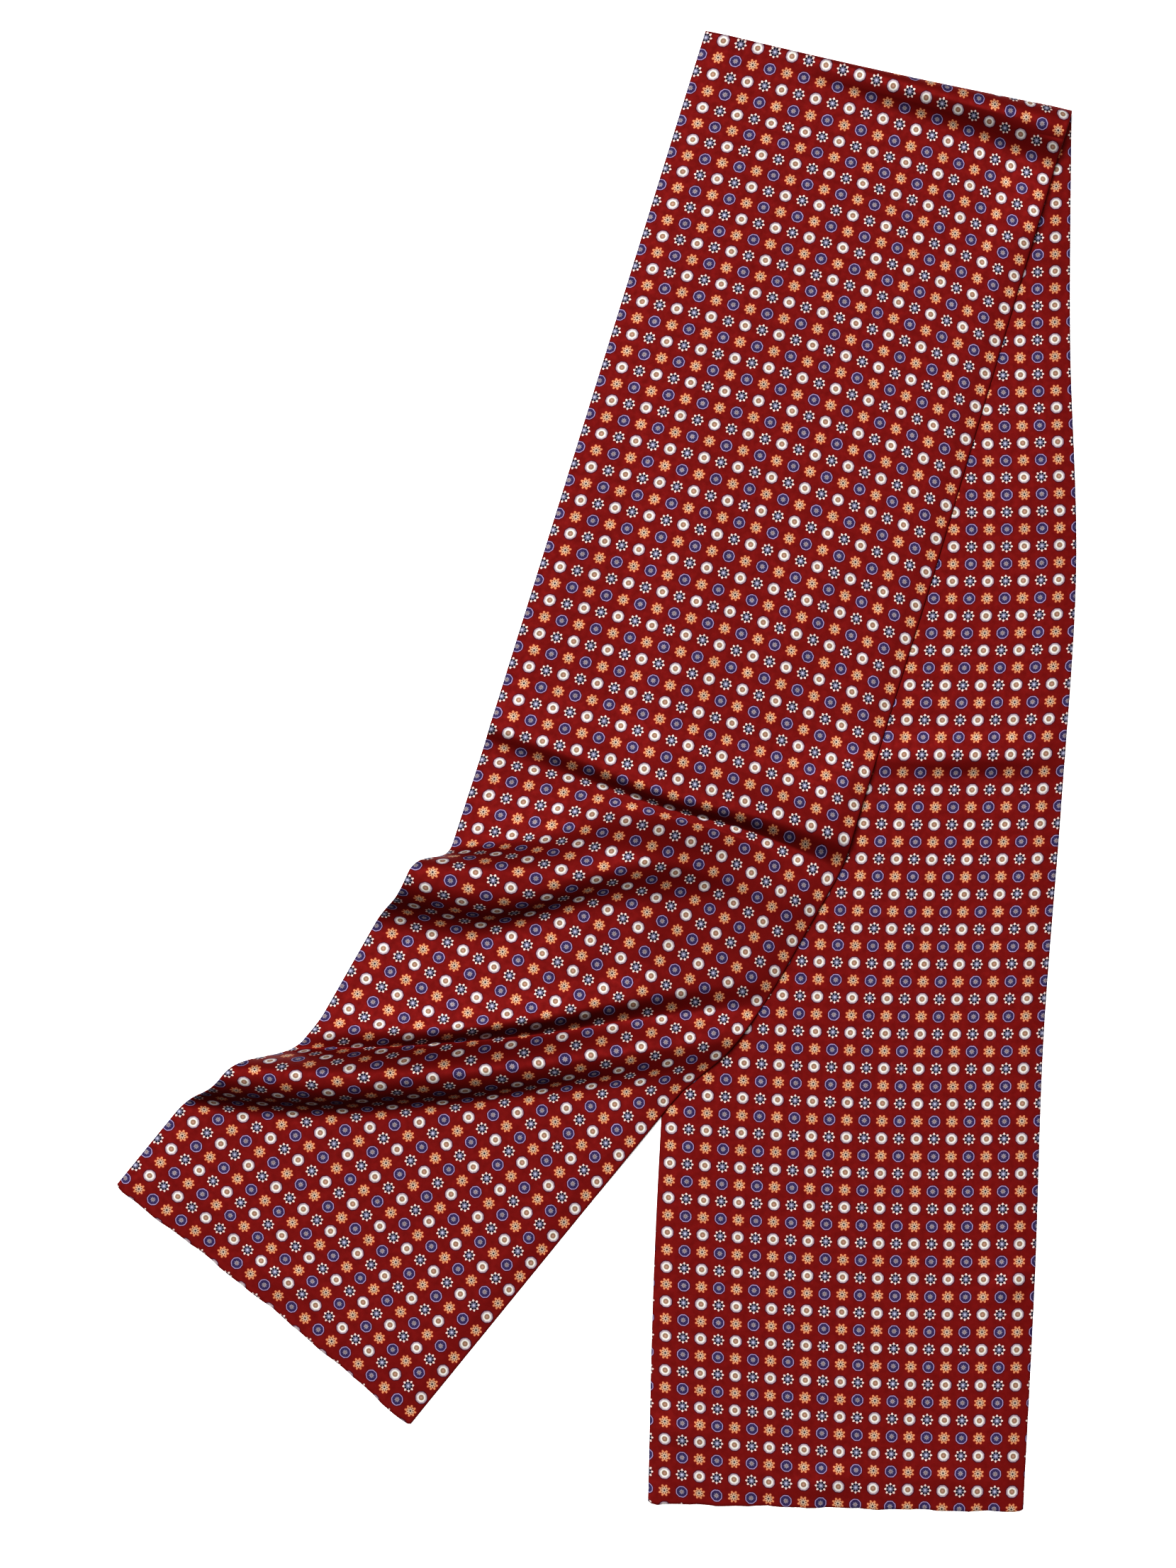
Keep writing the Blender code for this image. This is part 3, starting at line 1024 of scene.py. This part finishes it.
class Motif(Enum):
    """The four motifs of the print, by the parity of their column and row."""

    FLOWER = (0, 0)
    MEDALLION = (0, 1)
    DISC = (1, 0)
    STAR = (1, 1)


class Cell:
    """Where each point lies in its motif's cell, in repeats of the print."""

    grain_scale: float = 9.0
    rough_edge: float = 0.03
    corners: float = 0.006

    def __init__(self, g: Graph) -> None:
        """Reads the grid in the UV map and measures from the nearest motif's centre.

        Args:
            g: the material's graph.
        """
        uv = g.node("ShaderNodeUVMap", {"uv_map": "print"}, {})
        parts = g.node("ShaderNodeSeparateXYZ", {}, {0: uv.outputs[0]})
        self.graph, self.place = g, uv.outputs[0]
        self.u, self.v = Value(g, parts.outputs[0]), Value(g, parts.outputs[1])
        column, row = g.maths("ROUND", self.u), g.maths("ROUND", self.v)
        x, y = self.u - column, self.v - row
        self.odd_column, self.odd_row = column % 2.0, row % 2.0
        self.angle = g.maths("ARCTAN2", y, x)
        inputs = {"Vector": self.place, "Scale": self.grain_scale}
        grain = Value(g, g.node("ShaderNodeTexNoise", {"noise_dimensions": "2D"}, inputs).outputs["Fac"])
        self.radius = g.maths("SQRT", x * x + y * y) + (grain - 0.5) * self.rough_edge
        self.eight_sided = self.radius + g.maths("COSINE", self.angle * 8.0) * self.corners

    def eighth(self, middle: float) -> tuple[Value, Value]:
        """The place in an eighth of the circle: outwards along its middle line, and aside from that line.

        Args:
            middle: the angle of one eighth's middle line, in degrees.

        Returns:
            The distance outwards, and the distance aside.
        """
        g = self.graph
        turn = (self.angle + math.radians(22.5 - middle)) % (math.pi / 4.0) - math.pi / 8.0
        return self.radius * g.maths("COSINE", turn), self.radius * g.maths("SINE", turn)


@dataclass(frozen=True)
class FoulardPrint:
    """The print: four small motifs with eight petals or sides. Its unit of length is their repeat.

    A layer is a shape with its colour: inside a radius, or a spot that is repeated eight times round.
    """

    ground: tuple[int, int, int] = (124, 17, 15)
    soft: float = 0.014
    oval_soft: float = 1.5
    bright: float = 1.08

    def inside(self, radius: Value, edge: float) -> Value:
        """1 inside a radius and 0 outside it, a little soft."""
        return radius.graph.step(edge - radius, -self.soft, self.soft)

    def spot(self, eighth: tuple[Value, Value], middle: float, half_length: float, half_width: float) -> Value:
        """1 inside an oval in each eighth of the circle and 0 outside it.

        Args:
            eighth: the place in the eighth, outwards and aside.
            middle: how far out the oval's middle is.
            half_length: half its length outwards.
            half_width: half its width.

        Returns:
            The mask.
        """
        out, aside = (eighth[0] - middle) / half_length, eighth[1] / half_width
        edge = self.oval_soft * self.soft / half_width
        return out.graph.step(1.0 - (out * out + aside * aside), -edge, edge)

    def drawn(self, motif: Motif, cell: Cell) -> list[tuple[Value, tuple[float, ...]]]:
        """One motif's layers, from its dark outline to its centre.

        Args:
            motif: which of the four.
            cell: where the points are.

        Returns:
            The layers, each a mask and the colour that the picture shows, as dye() takes it.
        """
        r, sided = cell.radius, cell.eight_sided
        on, between = cell.eighth(0.0), cell.eighth(22.5)
        if motif is Motif.DISC:
            return [
                (self.inside(sided, 0.388) * 0.8, (52, 6, 28)),
                (self.inside(sided, 0.346), (164, 136, 154)),
                (self.inside(sided, 0.312), (204, 182, 190)),
                (self.inside(sided, 0.248), (255, 252, 244, self.bright)),
                (self.inside(r, 0.154), (166, 130, 102)),
                (self.inside(r, 0.060), (214, 158, 140)),
            ]
        if motif is Motif.FLOWER:
            return [
                (self.spot(on, 0.276, 0.112, 0.096) * 0.6, (56, 8, 20)),
                (self.inside(r, 0.272), (216, 182, 184)),
                (self.inside(r, 0.240), (174, 166, 180)),
                (self.spot(between, 0.190, 0.062, 0.062), (20, 20, 34)),
                (self.inside(r, 0.140), (116, 114, 144)),
                (self.inside(r, 0.070), (208, 212, 236)),
                (self.spot(on, 0.288, 0.066, 0.058), (255, 226, 214, 1.15)),
            ]
        if motif is Motif.STAR:
            return [
                (self.inside(r, 0.360) * 0.3, (150, 44, 8)),
                (self.spot(between, 0.205, 0.105, 0.078), (244, 158, 112)),
                (self.inside(r, 0.205), (244, 192, 158)),
                (self.spot(between, 0.168, 0.054, 0.028), (120, 72, 44)),
                (self.inside(r, 0.106), (226, 196, 170)),
                (self.inside(r, 0.052), (30, 26, 40)),
                (self.spot(between, 0.290, 0.064, 0.060), (252, 156, 104)),
            ]
        return [
            (self.inside(sided, 0.380) * 0.7, (46, 6, 34)),
            (self.inside(sided, 0.338), (184, 164, 208)),
            (self.inside(sided, 0.286), (54, 46, 92)),
            (self.spot(on, 0.094, 0.062, 0.028), (176, 166, 172)),
            (self.inside(r, 0.046), (150, 118, 112)),
        ]

    def colour(self, cell: Cell) -> bpy.types.NodeSocket:
        """The print's colour at each point: every motif is drawn, and the cell's parity picks one.

        Args:
            cell: where the points are.

        Returns:
            The colour's socket.
        """
        g = cell.graph
        picked = {}
        for motif in Motif:
            colour = dye(*self.ground)
            for mask, paint in self.drawn(motif, cell):
                colour = g.mixed(mask, colour, dye(*paint))
            picked[motif] = colour
        even = g.mixed(cell.odd_row, picked[Motif.FLOWER], picked[Motif.MEDALLION])
        odd = g.mixed(cell.odd_row, picked[Motif.DISC], picked[Motif.STAR])
        return g.mixed(cell.odd_column, even, odd)


@dataclass(frozen=True)
class SilkTwill:
    """Printed silk twill: fine slanting ribs, a soft satin gloss and a faint sheen."""

    pattern: FoulardPrint = FoulardPrint()
    ribs: float = 24.0
    rib_depth: float = 0.03 * MM
    rib_strength: float = 0.35
    # Painted shade that darkens the print between the ribs, the yarn's own random tone, and the deep colour
    # both go towards
    painted_rib_shade: float = 0.05
    yarn_scale: float = 2.6
    yarn_detail: float = 4.0
    yarn_depth: float = 0.10
    deep_tone_and_rib_shade: tuple[int, int, int] = (58, 4, 10)
    roughness: float = 0.6
    rough_swing: float = 0.24
    satin: float = 0.38
    gloss: float = 0.08

    def dress(self, piece: bpy.types.Object) -> None:
        """Gives the piece this finish: the print, with painted shade between the ribs and a deeper tone by the
        yarn.

        Args:
            piece: the piece, with the print's places in its UV map.
        """
        g = Graph("printed_silk_twill")
        cell = Cell(g)
        ribs = g.maths("SINE", (cell.u + cell.v) * (self.ribs * math.tau)) * 0.5 + 0.5
        inputs = {"Vector": cell.place, "Scale": self.yarn_scale, "Detail": self.yarn_detail}
        yarn = Value(g, g.node("ShaderNodeTexNoise", {"noise_dimensions": "2D"}, inputs).outputs["Fac"])
        # Painted shade: the print goes darker in the low parts between the ribs; the yarn noise adds a real
        # tone that varies at random
        yarn_tone_and_rib_shade = yarn * self.yarn_depth + (1.0 - ribs) * self.painted_rib_shade
        inputs = {"Height": ribs, "Strength": self.rib_strength, "Distance": self.rib_depth}
        looks = {
            "Base Color": g.mixed(yarn_tone_and_rib_shade, self.pattern.colour(cell), dye(*self.deep_tone_and_rib_shade)),
            "Roughness": (yarn - 0.5) * self.rough_swing + self.roughness,
            "Normal": g.node("ShaderNodeBump", {}, inputs).outputs[0],
            "Specular IOR Level": self.gloss,
            "Metallic": self.satin,
        }
        g.plug(g.shader, looks)
        piece.data.materials.append(g.material)


# ---- The studio ----


@dataclass
class Studio:
    """The pale floor, the soft light and the camera straight above."""

    photo: tuple[int, int] = (1659, 2212)
    scale: float = 0.434 * MM
    scarf_middle: tuple[float, float] = (842.5, 1089.0)
    camera_height: float = 3.2
    sensor: float = 36.0
    light_power: float = 4.12
    light_width: float = 44.0
    light_lean: float = 21.0
    light_turn: float = 30.0
    room: float = 0.08
    floor_half: float = 4.0
    floor_height: float = -0.15 * MM
    floor_grey: float = 0.94
    floor_roughness: float = 0.9
    floor_gloss: float = 0.1

    def floor(self) -> None:
        """A plain pale floor, a hair below the cloth."""
        mesh = bpy.data.meshes.new("floor")
        corners = ((-1, -1), (1, -1), (1, 1), (-1, 1))
        points = [(x * self.floor_half, y * self.floor_half, self.floor_height) for x, y in corners]
        mesh.from_pydata(points, [], [(0, 1, 2, 3)])
        floor = placed("floor", mesh)
        g = Graph("pale_floor")
        paint = (self.floor_grey, self.floor_grey, self.floor_grey, 1.0)
        looks = {"Base Color": paint, "Roughness": self.floor_roughness, "Specular IOR Level": self.floor_gloss}
        g.plug(g.shader, looks)
        mesh.materials.append(g.material)

    def lights(self) -> None:
        """One wide soft light from above, beyond the fold and to the left, and a dim white room."""
        data = bpy.data.lights.new("soft_light", "SUN")
        data.energy = self.light_power
        data.angle = math.radians(self.light_width)
        lean, turn = math.radians(self.light_lean), math.radians(self.light_turn)
        placed("soft_light", data).rotation_euler = (-lean, 0.0, turn)
        world = bpy.data.worlds.new("white_room")
        world.use_nodes = True
        background = world.node_tree.nodes["Background"]
        background.inputs["Color"].default_value = (1.0, 1.0, 1.0, 1.0)
        background.inputs["Strength"].default_value = self.room
        bpy.context.scene.world = world

    def camera(self) -> None:
        """The camera, straight above the photo's middle, its frame as tall as the photo's at the floor."""
        data = bpy.data.cameras.new("camera")
        data.sensor_width = self.sensor
        data.lens = self.sensor * self.camera_height / (self.photo[1] * self.scale)
        camera = placed("camera", data)
        x = (self.photo[0] / 2.0 - self.scarf_middle[0]) * self.scale + CENTRING[0]
        y = (self.scarf_middle[1] - self.photo[1] / 2.0) * self.scale + CENTRING[1]
        camera.location = (x, y, self.camera_height)
        bpy.context.scene.camera = camera

    def set_up(self) -> None:
        """Puts all of it into the scene, with plain screen colours."""
        self.floor()
        self.lights()
        self.camera()
        settings = bpy.context.scene.view_settings
        settings.view_transform = "Standard"
        settings.look = "Very High Contrast"


def main() -> None:
    """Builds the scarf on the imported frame, dresses it, and sets up the studio."""
    logging.basicConfig(level=logging.INFO, format="%(message)s")
    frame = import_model()
    scarf = Scarf()
    piece = scarf.build()
    SilkTwill().dress(piece)
    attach(piece, "root")
    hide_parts(*frame["nodes"])
    LOG.info("silk_scarf: built and dressed")
    Studio().set_up()
    LOG.info("studio: floor, light and camera")


if __name__ == "__main__":
    main()
